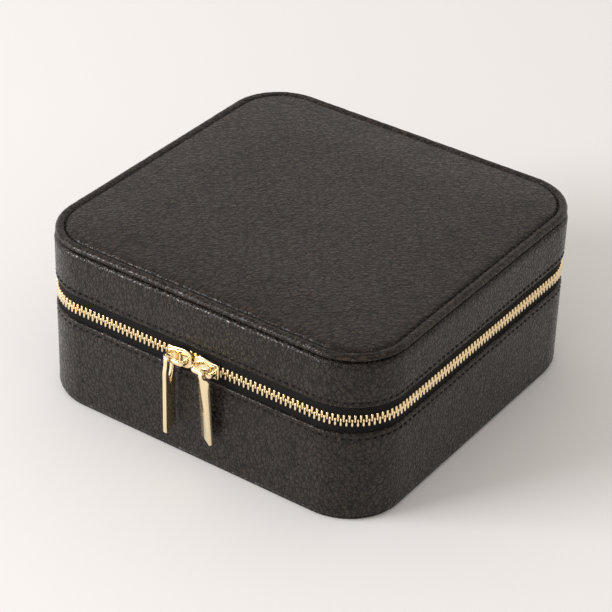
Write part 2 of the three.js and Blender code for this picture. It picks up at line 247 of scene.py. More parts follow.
def fit(piece, body, node):
    """Says what a piece moves with, and hides the CAD part that it stands for."""
    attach(piece, body)
    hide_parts(node)


def grid_faces(rows, columns, wrap_rows, wrap_columns):
    """Quads over points laid out as rows by columns."""
    faces = []
    for i in range(rows if wrap_rows else rows - 1):
        below = (i + 1) % rows
        for j in range(columns if wrap_columns else columns - 1):
            beside = (j + 1) % columns
            faces.append((
                i * columns + j,
                below * columns + j,
                below * columns + beside,
                i * columns + beside,
            ))
    return faces


def end_caps(rows, columns):
    """The two faces that close an open loft of closed sections."""
    first = tuple(range(columns))
    last = tuple((rows - 1) * columns + j for j in range(columns))
    return [first, last]


def loft(name, points, material, closed_way=True, **options):
    """A solid from closed sections: points is way by section by 3."""
    rows, columns = points.shape[:2]
    faces = grid_faces(rows, columns, closed_way, True)
    if not closed_way:
        faces += end_caps(rows, columns)
    return mesh_piece(name, points, faces, material, **options)


def copies(name, points, faces, origins, axes, material, **options):
    """One mesh of many copies of a small shape: axes is copies by 3 by 3, with the shape's x, y, z."""
    corners = np.einsum("pk,ckx->cpx", points, axes) + origins[:, None, :]
    count = len(points)
    all_faces = [
        tuple(index + copy * count for index in face)
        for copy in range(len(origins))
        for face in faces
    ]
    return mesh_piece(name, corners, all_faces, material, **options)


def rounded_section(corners, longest):
    """A closed outline through corners of (inset, z, radius), with round corners and no long gaps."""
    steps = 4
    corners = [np.array(corner, float) for corner in corners]
    outline = []
    for index, corner in enumerate(corners):
        before = corners[index - 1][:2] - corner[:2]
        after = corners[(index + 1) % len(corners)][:2] - corner[:2]
        reach = min(corner[2], 0.49 * np.linalg.norm(before), 0.49 * np.linalg.norm(after))
        if reach < 1e-6:
            outline.append(corner[:2])
            continue
        start = corner[:2] + before / np.linalg.norm(before) * reach
        end = corner[:2] + after / np.linalg.norm(after) * reach
        for t in np.linspace(0, 1, steps + 1):
            outline.append((1 - t) ** 2 * start + 2 * t * (1 - t) * corner[:2] + t * t * end)
    filled = []
    for index, place in enumerate(outline):
        following = outline[(index + 1) % len(outline)]
        pieces = max(1, int(math.ceil(np.linalg.norm(following - place) / longest)))
        for part in range(pieces):
            filled.append(place + (following - place) * part / pieces)
    return np.array(filled)


def section_normals(section):
    """Outward normals of a closed outline of (inset, z), as (inset, z) parts."""
    along = np.roll(section, -1, axis=0) - np.roll(section, 1, axis=0)
    along /= np.linalg.norm(along, axis=1)[:, None] + 1e-12
    normal = np.stack([along[:, 1], -along[:, 0]], axis=1)
    inset, z = section[:, 0], section[:, 1]
    area = np.sum(inset * np.roll(z, -1) - z * np.roll(inset, -1))
    return normal if area > 0 else -normal


def wall_loft(name, ways, section, material, swell):
    """A section of (inset, z) swept round the wall; swell(points, section) moves it outwards."""
    points = CASE.points(ways, section[:, 0], section[:, 1])
    normal = section_normals(section)
    _, out, up = CASE.frames(ways)
    direction = normal[None, :, 1:] * up[:, None, :] - normal[None, :, :1] * out[:, None, :]
    return loft(name, points + swell(points, section)[..., None] * direction, material)


def plan_cover(name, plan, step, profile, material, shape=None, **options):
    """A closed solid from a profile of (inset, z) that starts and ends at the plan's centre."""
    profile = np.array(profile, float)
    points = plan.points(plan.even(step), profile[:, 0], profile[:, 1])
    if shape is not None:
        points[..., 2] += shape(points)
    rows, columns = points.shape[:2]
    inner = points[:, 1:-1].reshape(-1, 3)
    kept = columns - 2
    centres = points[:, (0, -1)].mean(axis=0)
    faces = grid_faces(rows, kept, True, False)
    for row in range(rows):
        beside = (row + 1) % rows
        faces.append((row * kept, beside * kept, rows * kept))
        faces.append((row * kept + kept - 1, beside * kept + kept - 1, rows * kept + 1))
    return mesh_piece(name, np.concatenate([inner, centres]), faces, material, **options)


# -------- materials

class Look:
    """A Principled material, and short calls for building its nodes."""

    def __init__(self, name, colour, roughness, metallic=0.0):
        self.material = bpy.data.materials.new(name)
        self.material.use_nodes = True
        self.tree = self.material.node_tree
        self.shader = self.tree.nodes["Principled BSDF"]
        self.put("Base Color", (*colour, 1))
        self.put("Roughness", roughness)
        self.put("Metallic", metallic)

    def connect(self, value, socket):
        if isinstance(value, bpy.types.NodeSocket):
            self.tree.links.new(value, socket)
        else:
            socket.default_value = value

    def put(self, name, value):
        """Sets one of the shader's inputs, or links it."""
        self.connect(value, self.shader.inputs[name])

    def node(self, kind, output, inputs=(), **settings):
        """Makes a node, and gives its output of that name or number."""
        made = self.tree.nodes.new(f"ShaderNode{kind}")
        for key, value in settings.items():
            setattr(made, key, value)
        for key, value in dict(inputs).items():
            self.connect(value, made.inputs[key])
        return made.outputs[output]

    def place(self, scale=1 / MM):
        """The object's own coordinates times scale, in millimetres unless it is given."""
        inputs = {"Vector": self.node("TexCoord", "Object"), "Scale": (scale,) * 3}
        return self.node("Mapping", "Vector", inputs)

    def stretched(self, stretch, turn):
        """Millimetres, lengthened along axes that are turned by some degrees about z."""
        inputs = {
            "Vector": self.node("TexCoord", "Object"),
            "Rotation": (0, 0, math.radians(turn)),
            "Scale": tuple(MM * length for length in stretch),
        }
        return self.node("Mapping", "Vector", inputs, vector_type="TEXTURE")

    def noise(self, vector, scale, detail=3.0, distortion=0.0):
        inputs = {"Vector": vector, "Scale": scale, "Detail": detail, "Distortion": distortion}
        return self.node("TexNoise", "Fac", inputs)

    def maths(self, operation, first, second=0.0, clamp=False):
        return self.node("Math", 0, {0: first, 1: second}, operation=operation, use_clamp=clamp)

    def spread(self, value, low, high, to_low, to_high, shape="LINEAR"):
        inputs = {"Value": value, "From Min": low, "From Max": high, "To Min": to_low, "To Max": to_high}
        return self.node("MapRange", "Result", inputs, interpolation_type=shape)

    def mix(self, factor, first, second):
        inputs = {"Factor": factor, "A": (*first, 1), "B": (*second, 1)}
        return self.node("Mix", "Result", inputs, data_type="RGBA")

    def bump(self, height, distance, under=None):
        inputs = {"Height": height, "Distance": distance * MM}
        if under is not None:
            inputs["Normal"] = under
        return self.node("Bump", "Normal", inputs)


SHEEN_TINT = (1.0, 0.86, 0.76)
# Near-black painted shade for the creases between the leather's pebbles.
PAINTED_CREASE_SHADE = (0.0012, 0.0008, 0.0006)


def pebbled_leather(name, stretch, turn, light):
    """Black leather with soft pebbles about 2 mm across, lengthened by stretch along turned axes, with
    painted shade in the creases between the pebbles.
    """
    look = Look(name, (0.02, 0.017, 0.015), 0.42)
    plain = look.place()
    place = look.stretched(stretch, turn)
    warp = look.node("TexNoise", "Color", {"Vector": place, "Scale": 0.45, "Detail": 2.0})
    offset = look.node("VectorMath", 0, {0: warp, "Scale": 2.6}, operation="SCALE")
    warped = look.node("VectorMath", 0, {0: place, 1: offset}, operation="ADD")
    inputs = {"Vector": warped, "Scale": 0.5}
    cells = look.node("TexVoronoi", "Distance", inputs, feature="DISTANCE_TO_EDGE")
    waves = look.spread(look.noise(warped, 0.62, 1.0), 0.35, 0.65, -1.0, 1.0)
    ridge = look.maths("ABSOLUTE", waves)
    pebbles = look.spread(cells, 0.0, 0.2, 0.0, 1.0, "SMOOTHSTEP")
    wrinkles = look.spread(ridge, 0.0, 0.4, 0.35, 1.0, "SMOOTHSTEP")
    raised = look.maths("MULTIPLY", pebbles, wrinkles)
    soft = look.maths("MULTIPLY", look.noise(place, 0.5, 2.0), 0.6)
    height = look.maths("ADD", raised, soft)
    pores = look.bump(look.noise(plain, 4.0, 2.0), 0.03)
    broad = look.spread(look.noise(plain, 0.035, 2.0), 0.3, 0.7, 0.8, 1.15)
    # Painted shade: the creases between the pebbles get a near-black colour and a dimmed specular tint,
    # standing in for the shade that falls in them; broad adds a random tone on top.
    crease_shade_and_tone = look.maths("MULTIPLY", raised, broad, clamp=True)
    crease_shade_tint = tuple(0.2 * part for part in SHEEN_TINT)
    look.put("Base Color", look.mix(crease_shade_and_tone, PAINTED_CREASE_SHADE, light))
    look.put("Specular Tint", look.mix(raised, crease_shade_tint, SHEEN_TINT))
    look.put("Specular IOR Level", 0.27)
    look.put("Roughness", look.spread(raised, 0.0, 1.0, 0.5, 0.25))
    look.put("Normal", look.bump(height, 0.42, under=pores))
    look.put("Coat Weight", 0.35)
    look.put("Coat Roughness", 0.26)
    look.put("Coat Normal", look.bump(height, 0.12))
    return look.material


def polished_gold():
    look = Look("polished_gold", (1.0, 0.83, 0.54), 0.1, 1.0)
    place = look.place()
    haze = look.noise(place, 0.8, 3.0)
    look.put("Roughness", look.spread(haze, 0.3, 0.7, 0.07, 0.14))
    look.put("Normal", look.bump(look.noise(place, 0.9, 1.0), 0.004))
    return look.material


def woven_tape():
    """Black zip tape with a fine twill."""
    look = Look("woven_tape", (0.006, 0.006, 0.006), 0.7)
    place = look.place()
    x, y, z = (look.node("SeparateXYZ", axis, {"Vector": place}) for axis in "XYZ")
    slanted = look.maths("ADD", look.maths("ADD", x, y), z)
    twill = look.maths("SINE", look.maths("MULTIPLY", slanted, 4.4))
    yarn = look.maths("SINE", look.maths("MULTIPLY", z, 11.0))
    weave = look.maths("ADD", twill, look.maths("MULTIPLY", yarn, 0.5))
    fleck = look.spread(weave, -0.6, 1.5, 0.0, 1.0)
    look.put("Base Color", look.mix(fleck, (0.0008, 0.0008, 0.0008), (0.024, 0.022, 0.021)))
    look.put("Specular IOR Level", 0.15)
    look.put("Normal", look.bump(weave, 0.2))
    return look.material


def sewing_thread():
    look = Look("sewing_thread", (0.004, 0.0036, 0.0034), 0.7)
    twist = look.noise(look.place(3 / MM), 1.0, 1.0)
    look.put("Base Color", look.mix(twist, (0.002, 0.0018, 0.0017), (0.006, 0.0055, 0.005)))
    look.put("Specular IOR Level", 0.25)
    look.put("Normal", look.bump(twist, 0.05))
    return look.material


def brushed_suede(name, dark, light):
    """Short-napped microfibre with soft patches where the nap lies differently."""
    look = Look(name, light, 0.95)
    place = look.place()
    nap = look.maths("MULTIPLY", look.noise(place, 0.06, 4.0, 0.6), 0.7)
    fibres = look.noise(place, 4.5, 3.0)
    both = look.maths("ADD", nap, look.maths("MULTIPLY", fibres, 0.3))
    look.put("Base Color", look.mix(look.spread(both, 0.35, 0.65, 0, 1), dark, light))
    look.put("Sheen Weight", 0.5)
    look.put("Sheen Roughness", 0.5)
    look.put("Normal", look.bump(fibres, 0.08))
    return look.material


def grey_board():
    # The boards are darker than plain grey board: partly their own colour, partly painted shade for the
    # gap between the top's rim and the lid's wall, where they show.
    look = Look("grey_board", (0.05, 0.046, 0.042), 0.9)
    pulp = look.noise(look.place(), 1.4, 4.0)
    look.put("Base Color", look.mix(pulp, (0.03, 0.028, 0.026), (0.075, 0.07, 0.064)))
    look.put("Normal", look.bump(pulp, 0.08))
    return look.material


def soft_foam():
    look = Look("soft_foam", (0.7, 0.65, 0.55), 0.95)
    cells = look.node("TexVoronoi", "Distance", {"Vector": look.place(), "Scale": 1.6})
    look.put("Base Color", look.mix(cells, (0.75, 0.7, 0.6), (0.5, 0.46, 0.38)))
    look.put("Normal", look.bump(cells, 0.2))
    return look.material


def silvered_glass():
    look = Look("silvered_glass", (0.88, 0.9, 0.91), 0.02, 1.0)
    smears = look.noise(look.place(), 0.05, 4.0)
    look.put("Roughness", look.spread(smears, 0.4, 0.7, 0.015, 0.05))
    return look.material


# The top leather's light colour is lighter and warmer than the wall leather's: painted light for how the
# light falls on the top, as both are the same leather.
WALL_LEATHER = pebbled_leather("wall_leather", (1.0, 1.0, 1.5), 0, (0.018, 0.0122, 0.0088))
TOP_LEATHER = pebbled_leather("top_leather", (1.9, 0.9, 1.1), 38, (0.025, 0.0145, 0.0092))
GOLD = polished_gold()
TAPE = woven_tape()
THREAD = sewing_thread()
SUEDE = brushed_suede("lining_suede", (0.17, 0.13, 0.105), (0.30, 0.24, 0.2))
BOARD = grey_board()
FOAM = soft_foam()
MIRROR = silvered_glass()


# -------- camera, light and floor

def make_camera():
    azimuth, elevation, roll = (math.radians(angle) for angle in (34.48, 33.33, 1.74))
    target = Vector((8.51, -17.15, 47.5)) * MM
    distance = 1063.6 * MM
    back = Vector((
        math.sin(azimuth) * math.cos(elevation),
        -math.cos(azimuth) * math.cos(elevation),
        math.sin(elevation),
    ))
    level = Vector((math.cos(azimuth), math.sin(azimuth), 0))
    steep = back.cross(level)
    right = level * math.cos(roll) + steep * math.sin(roll)
    up = steep * math.cos(roll) - level * math.sin(roll)
    camera = new_object("camera", bpy.data.cameras.new("camera"))
    turn = Matrix((right, up, back)).transposed().to_4x4()
    camera.matrix_world = Matrix.Translation(target + back * distance) @ turn
    camera.data.lens = 133.46
    camera.data.sensor_width = 36
    camera.data.clip_start = 0.05
    bpy.context.scene.camera = camera


def make_light():
    """A wide soft window to the left of the front, in a pale room."""
    bpy.context.scene.view_settings.view_transform = "Standard"
    data = bpy.data.lights.new("window", "AREA")
    data.shape = "RECTANGLE"
    data.size = 1.3
    data.size_y = 0.6
    data.energy = 54
    data.color = (0.97, 0.97, 1.0)
    window = new_object("window", data)
    towards = Vector((-0.6, -0.69, 0.38)).normalized()
    window.location = Vector((0, 0, 0.04)) + towards * 2.4
    window.rotation_mode = "QUATERNION"
    window.rotation_quaternion = (-towards).to_track_quat("-Z", "Y")
    world = bpy.data.worlds.new("soft_room")
    bpy.context.scene.world = world
    world.use_nodes = True
    background = world.node_tree.nodes["Background"]
    background.inputs["Color"].default_value = (1.0, 0.955, 0.91, 1)
    background.inputs["Strength"].default_value = 0.75


def make_floor():
    size = 6000
    points = [(-size, -size, 0), (size, -size, 0), (size, size, 0), (-size, size, 0)]
    look = Look("pale_floor", (0.8, 0.77, 0.74), 0.75)
    mottle = look.noise(look.place(1.0), 3.0, 3.0)
    look.put("Base Color", look.mix(mottle, (0.845, 0.83, 0.815), (0.865, 0.85, 0.835)))
    floor = mesh_piece("floor", points, [(0, 1, 2, 3)], look.material, smooth=False)


# -------- leather walls

def on_outside(section, limit):
    """1 on the section's outer face and 0 on its hidden inner face, deeper than limit."""
    return 1 - smoothstep(0.4 * limit, limit, section[:, 0])


def edge_puckers(points, z_low, z_high, height, seed):
    """Small upright gathers where the leather turns in, between two heights."""
    z = points[..., 2]
    near = 1 - smoothstep(0.0, (z_high - z_low) / 2, np.abs(z - (z_low + z_high) / 2))
    return height * near * folds(points, (2.4, 2.4, 6.0), seed)


def broad_swell(points, height, seed):
    """Gentle unevenness of leather over padding."""
    return height * folds(points, (38.0, 38.0, 30.0), seed)


def stitch_groove(points, z):
    """A valley along a line of stitches at height z."""
    return -GROOVE_DEPTH * np.exp(-(((points[..., 2] - z) / GROOVE_WIDTH) ** 2))


def turned_edge(z, depth, height):
    """Corners of leather that bends inwards over an edge at z, from below if height is positive."""
    bend = np.radians(np.arange(8, 90, 13))
    return [(depth * (1 - math.cos(turn)), z - height * (1 - math.sin(turn)), 0) for turn in bend]


def base_wall():
    section = rounded_section([
        (1.1, 2.6, 0.1),
        (1.0, 2.2, 0.2),
        (0.0, 2.5, 1.9),
        *turned_edge(BASE_EDGE_Z, 1.0, 1.3),
        (1.1, BASE_EDGE_Z + 0.1, 0.1),
    ], longest=1.5)

    def swell(points, outline):
        move = broad_swell(points, 0.2, 3) + edge_puckers(points, 1.5, 6.5, 0.26, 11)
        return (move + stitch_groove(points, BASE_STITCH_Z)) * on_outside(outline, 0.9)

    piece = wall_loft("base_wall_skin", CASE.even(1.2), section, WALL_LEATHER, swell)
    fit(piece, "base", "base_wall_leather")


def lid_wall():
    top = box_mm("lid_wall_leather")[1][2]
    section = rounded_section([
        (1.1, LID_EDGE_Z - 0.1, 0.1),
        *turned_edge(LID_EDGE_Z, 1.0, -1.3)[::-1],
        *turned_edge(top - 0.05, 2.2, 3.0),
        (2.6, top + 0.05, 0.2),
        (2.6, top - 0.9, 0.2),
        (1.1, top - 2.2, 0.6),
    ], longest=1.5)

    def swell(points, outline):
        move = broad_swell(points, 0.18, 5) + edge_puckers(points, top - 5.0, top + 1.4, 0.28, 21)
        return (move + stitch_groove(points, LID_STITCH_Z)) * on_outside(outline, 2.3)

    piece = wall_loft("lid_wall_skin", CASE.even(1.2), section, WALL_LEATHER, swell)
    fit(piece, "lid", "lid_wall_leather")


def bottom_panel():
    low, high = (corner[2] for corner in box_mm("base_bottom_leather"))
    edge = side_inset("base_bottom_leather")
    profile = [
        (HALF_Y, low + 0.5), (70, low + 0.5), (45, low + 0.4), (30, low + 0.25), (18, low + 0.1),
        (12, low), (8, low), (5, low), (edge + 1.3, low), (edge + 0.4, low + 0.15), (edge, low + 0.6),
        (edge, high - 0.5), (edge + 0.5, high), (6, high), (30, high), (HALF_Y, high),
    ]
    piece = plan_cover("base_bottom_panel", CASE, 2.0, profile, WALL_LEATHER)
    fit(piece, "base", "base_bottom_leather")


# -------- the padded top

def top_height(inset):
    """The height of the top leather's upper surface, from its rim to the crown."""
    rim = RIM_Z - 0.5 * smoothstep(2.4, RIM_STITCH_INSET, inset)
    valley = 0.8 * np.exp(-(((inset - RIM_STITCH_INSET) / 0.65) ** 2))
    inside = np.maximum(inset - RIM_STITCH_INSET, 0)
    crown = 1.1 * (1 - np.exp(-inside / 2.4)) + 1.4 * smoothstep(0, 34, inside)
    return rim - valley + crown


def lid_top():
    edge = side_inset("lid_top_leather")
    low = RIM_LOW_Z
    under = [(HALF_Y, low + 2.2), (40, low + 2.2), (5.0, low + 2.2), (3.4, low + 2.0)]
    rim = [
        (2.6, low + 0.9), (1.9, low + 0.5), (1.2, low + 0.6), (edge + 0.2, low + 1.0),
        (edge - 0.05, low + 1.55), (edge + 0.02, RIM_Z - 1.6), (edge + 0.28, RIM_Z - 0.95),
        (edge + 0.75, RIM_Z - 0.42), (edge + 1.3, RIM_Z - 0.12),
    ]
    insets = np.concatenate([
        np.arange(2.3, 8.5, 0.33), np.arange(8.5, 20.0, 1.0), np.arange(20.0, HALF_Y, 2.4), [HALF_Y],
    ])
    profile = under + rim + list(zip(insets, top_height(insets)))
    first_top = len(under) + len(rim)

    def shape(points):
        row = np.arange(points.shape[1])
        at_rim = np.exp(-(((row - first_top + 3) / 3.5) ** 2))
        across = np.where(row < len(under) + 2, 0, 1)
        inside = smoothstep(first_top + 6, first_top + 24, row)
        lift = 0.4 * folds(points, 34.0, 31) * inside
        return (lift + 0.2 * folds(points, (2.2, 2.2, 5.0), 33) * at_rim) * across

    piece = plan_cover("lid_top_skin", CASE, 1.2, profile, TOP_LEATHER, shape)
    fit(piece, "lid", "lid_top_leather")


def foam_slabs():
    """The thin foam under the top leather and under the floor's lining."""
    for node, body in (("lid_top_foam", "lid"), ("base_floor_foam", "base")):
        low, high = box_mm(node)
        inset = side_inset(node)
        bottom, top = low[2], high[2]
        profile = [
            (HALF_Y, bottom), (30, bottom), (inset + 0.5, bottom), (inset + 0.1, bottom + 0.2),
            (inset, (bottom + top) / 2), (inset + 0.1, top - 0.2), (inset + 0.5, top), (30, top),
            (HALF_Y, top),
        ]
        piece = plan_cover(f"{node}_sheet", CASE, 4.0, profile, FOAM)
        fit(piece, body, node)


# -------- stitching

def stitch_shape():
    """One stitch along x, bowed up along y, with its ends in the leather."""
    rings, sides = 5, 6
    points = []
    for ring in range(rings):
        t = ring / (rings - 1) * 2 - 1
        thickness = STITCH_RADIUS * (0.55 + 0.45 * (1 - t * t))
        lift = STITCH_LIFT - STITCH_SINK * t * t
        for side in range(sides):
            angle = 2 * math.pi * side / sides
            across = thickness * math.sin(angle)
            points.append((t * STITCH_LENGTH / 2, lift + thickness * math.cos(angle), across))
    return np.array(points), grid_faces(rings, sides, False, True) + end_caps(rings, sides)


def stitch_line(name, body, inset, z, seed, faces_up=False):
    """A line of stitches round the wall, or on the top where faces_up."""
    ways = CASE.even(STITCH_PITCH)
    rng = np.random.default_rng(seed)
    origins = CASE.points(ways, inset, z)[:, 0, :]
    along, out, up = CASE.frames(ways)
    if faces_up:
        out, up = up, out
    tilt = np.radians(rng.normal(5, 2, len(ways)))[:, None]
    leaning = along * np.cos(tilt) + up * np.sin(tilt)
    beside = up * np.cos(tilt) - along * np.sin(tilt)
    points, faces = stitch_shape()
    piece = copies(name, points, faces, origins, np.stack([leaning, out, beside], axis=1), THREAD)
    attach(piece, body)


def stitching():
    stitch_line("base_edge_stitches", "base", STITCH_INSET, BASE_STITCH_Z, 1)
    stitch_line("lid_edge_stitches", "lid", STITCH_INSET, LID_STITCH_Z, 2)
    rim_height = top_height(np.array([RIM_STITCH_INSET]))[0] + 0.1
    stitch_line("lid_rim_stitches", "lid", RIM_STITCH_INSET, rim_height, 3, faces_up=True)


# -------- the zip

def spread_at(ways):
    """How far a row is pushed from the centre line, between and inside the two sliders."""
    from_left = (ways - SLIDER_X["left"]) / (SLIDER_HALF_LENGTH - 1)
    from_right = (SLIDER_X["right"] - ways) / (SLIDER_HALF_LENGTH - 1)
    return ROW_SPREAD * smoothstep(0, 1, np.minimum(from_left, from_right))


def tooth_shape():
    """One tooth: x along the zip, y outwards, z from its head, past the centre line, to its legs."""
    half = [
        (0.26, -0.85), (0.46, -0.55), (0.5, -0.1), (0.36, 0.45),
        (0.4, 0.95), (0.55, 1.4), (0.56, 2.6), (0.36, 2.98),
    ]
    outline = np.array([(x, z) for x, z in half] + [(-x, z) for x, z in reversed(half)])
    middle = np.array([0, 1.1])
    layers = [(-1.3, 0.8), (-1.1, 1.0), (0.75, 1.0), (1.15, 0.86), (1.38, 0.5)]
    points = []
    for depth, scale in layers:
        inner = middle + (outline - middle) * np.array([scale, 1 - (1 - scale) * 0.35])
        points += [(x, depth, z) for x, z in inner]
    count = len(outline)
    return np.array(points), grid_faces(len(layers), count, False, True) + end_caps(len(layers), count)


def teeth_row(side, body, node):
    reach = CASE.perimeter / 2 - ZIP_END_X - 1.5
    shift = 0 if side < 0 else TOOTH_PITCH / 2
    ways = np.arange(-reach + shift, reach, TOOTH_PITCH)
    origins = CASE.points(ways, TEETH_INSET, ZIP_Z + side * spread_at(ways)[:, None])[:, 0, :]
    along, out, up = CASE.frames(ways)
    points, faces = tooth_shape()
    axes = np.stack([along, out, side * up], axis=1)
    piece = copies(f"{node}_cast", points, faces, origins, axes, GOLD, sharp_angle=50)
    fit(piece, body, node)


def zip_tape(side, body, node):
    """A woven strip with a corded edge that the teeth are clamped on."""
    ways = zip_ways(1.4, box_mm("zip_end_stop_right")[0][0])
    cord_radius, cord_z = 0.7, 2.35
    cord = [
        (TEETH_INSET - cord_radius * math.cos(angle), cord_z - cord_radius * math.sin(angle))
        for angle in np.radians(np.arange(-60, 245, 25))
    ]
    band = [
        (2.0, 3.3), (1.9, 5.0), (1.9, 7.5), (1.9, 13.0),
        (1.3, 13.0), (1.3, 7.5), (1.25, 5.0), (1.15, 3.3),
    ]
    section = np.array(cord + band)
    z = section[None, :, 1] + spread_at(ways)[:, None] * (1 - smoothstep(5, 12, section[None, :, 1]))
    points = CASE.points(ways, section[:, 0], ZIP_Z + side * z)
    piece = loft(f"{node}_weave", points, TAPE, closed_way=False, sharp_angle=60)
    fit(piece, body, node)


# -------- metal parts

SLIDER_PLATE = 1.1
SLIDER_SHOULDER = 4.9
SLIDER_TAIL = 3.9
SLIDER_ROOM = 3.2
BRIDGE_HALF_WIDTH = 1.15
BRIDGE_THICKNESS = 1.5
BRIDGE_FROM, BRIDGE_TO = -5.8, 6.4
BRIDGE_LEG = 1.3
PIVOT_DEPTH = -HALF_Y - joint_place("pull_left_swing")[1]
PULL_HALF_WIDTH = 3.5
PULL_HALF_THICKNESS = 1.0
PULL_LENGTH = 39.2
PULL_SLANT = 2.4
PULL_HEAD = 2.7
PULL_EYE = 1.6
PULL_V_END = 10.7
PULL_TURN = {"left": 0, "right": 68}
PULL_LEAN = {"left": 0, "right": 4.4}


def bezier(start, first, second, end, steps):
    t = np.linspace(0, 1, steps)[:, None]
    start, first, second, end = (np.array(place, float) for place in (start, first, second, end))
    near = (1 - t) ** 3 * start + 3 * t * (1 - t) ** 2 * first
    return near + 3 * t * t * (1 - t) * second + t ** 3 * end


def mirrored(half):
    """A closed outline from the half of it that lies above the x axis."""
    return half + [(x, -y) for x, y in reversed(half)]


def plate_shape(outlines, low, high, bevel):
    """A plate with round edges from closed (x, y) outlines, holes among them, low to high along z."""
    curve = bpy.data.curves.new("plate", "CURVE")
    curve.dimensions = "2D"
    curve.fill_mode = "BOTH"
    for outline in outlines:
        spline = curve.splines.new("POLY")
        spline.points.add(len(outline) - 1)
        for point, place in zip(spline.points, outline):
            point.co = (place[0], place[1], 0, 1)
        spline.use_cyclic_u = True
    curve.extrude = (high - low) / 2 - bevel
    curve.bevel_depth = bevel
    curve.bevel_resolution = 2
    curve.offset = -bevel
    holder = bpy.data.objects.new("plate", curve)
    mesh = bpy.data.meshes.new_from_object(holder)
    points = np.array([vertex.co for vertex in mesh.vertices]) + np.array([0, 0, (low + high) / 2])
    faces = [tuple(face.vertices) for face in mesh.polygons]
    bpy.data.objects.remove(holder)
    bpy.data.curves.remove(curve)
    bpy.data.meshes.remove(mesh)
    return points, faces


def placed(shape, origin, axes):
    """A shape whose own x, y and z run along the three axes from origin."""
    return shape[0] @ np.array(axes, float) + np.array(origin, float), shape[1]


def joined(shapes):
    """Several shapes as one."""
    points, faces, count = [], [], 0
    for shape_points, shape_faces in shapes:
        points.append(shape_points)
        faces += [tuple(index + count for index in face) for face in shape_faces]
        count += len(shape_points)
    return np.concatenate(points), faces


def carved(shape, cutters):
    """The shape with the cutters taken away."""
    block = mesh_piece("block", *shape, GOLD)
    tools = [mesh_piece("tool", *cutter, GOLD) for cutter in cutters]
    for tool in tools:
        cut = block.modifiers.new("cut", "BOOLEAN")
        cut.operation = "DIFFERENCE"
        cut.object = tool
    bpy.context.view_layer.update()
    result = block.evaluated_get(bpy.context.evaluated_depsgraph_get()).to_mesh()
    points = np.array([vertex.co for vertex in result.vertices]) / MM
    faces = [tuple(face.vertices) for face in result.polygons]
    for piece in (block, *tools):
        mesh = piece.data
        bpy.data.objects.remove(piece)
        bpy.data.meshes.remove(mesh)
    return points, faces


def metal(name, body, node, shape):
    piece = mesh_piece(name, *shape, GOLD, sharp_angle=38)
    fit(piece, body, node)


def slider_outline():
    """The slider seen from the front: wide round shoulders at -x, a narrower tail at +x."""
    long, shoulder, tail = SLIDER_HALF_LENGTH, SLIDER_SHOULDER, SLIDER_TAIL
    half = np.concatenate([
        bezier((long, 0), (long, 1), (long, tail - 2), (long, tail - 1), 3),
        bezier((long, tail - 1), (long, tail - 0.4), (long - 0.4, tail), (long - 1, tail), 5)[1:],
        bezier((long - 1, tail), (2, tail), (0, shoulder), (-2.5, shoulder), 12)[1:],
        bezier((-2.5, shoulder), (-5.2, shoulder), (-long, shoulder - 1.4), (-long, 2.0), 9)[1:],
        bezier((-long, 2.0), (-long, 1), (-long, 0.5), (-long, 0), 3)[1:],
    ])
    return np.concatenate([half, (half * np.array([1, -1]))[-2:0:-1]])


def slider_shape():
    """Two plates, the wedge that parts the rows, and lips that guide them at the tail."""
    outline = slider_outline()
    inner = -HALF_Y - box_mm("slider_right_body")[1][1]
    outer_plate = plate_shape([outline], 0.0, SLIDER_PLATE, 0.42)
    dome = np.array([(x * 0.78, y * 0.74) for x, y in outline])
    raised = plate_shape([dome], 0.3, SLIDER_PLATE + 0.28, 0.3)
    inner_plate = plate_shape([outline], inner, inner + SLIDER_PLATE, 0.4)
    wedge_outline = mirrored([(-6.4, 1.2), (-4.8, 1.2), (-3, 0.75), (-1.4, 0.12)])
    wedge = plate_shape([wedge_outline], inner + 0.6, 0.5, 0.05)
    return joined([outer_plate, raised, inner_plate, wedge] + slider_lips(inner))


def slider_lips(inner):
    """The plates' edges, bent towards each other along the tail."""
    depth = 1.0
    foot = inner + SLIDER_PLATE
    lips = []
    for side in (-1, 1):
        wall = [
            (0.6, side * (SLIDER_ROOM + 0.05)), (6.3, side * (SLIDER_ROOM + 0.05)),
            (6.5, side * (SLIDER_TAIL - 0.35)), (6.0, side * (SLIDER_TAIL - 0.08)),
            (2.6, side * (SLIDER_TAIL + 0.2)), (0.6, side * (SLIDER_TAIL + 0.55)),
        ]
        lips.append(plate_shape([wall], -depth, 0.5, 0.12))
        lips.append(plate_shape([wall], foot - 0.4, foot + depth, 0.12))
    return lips


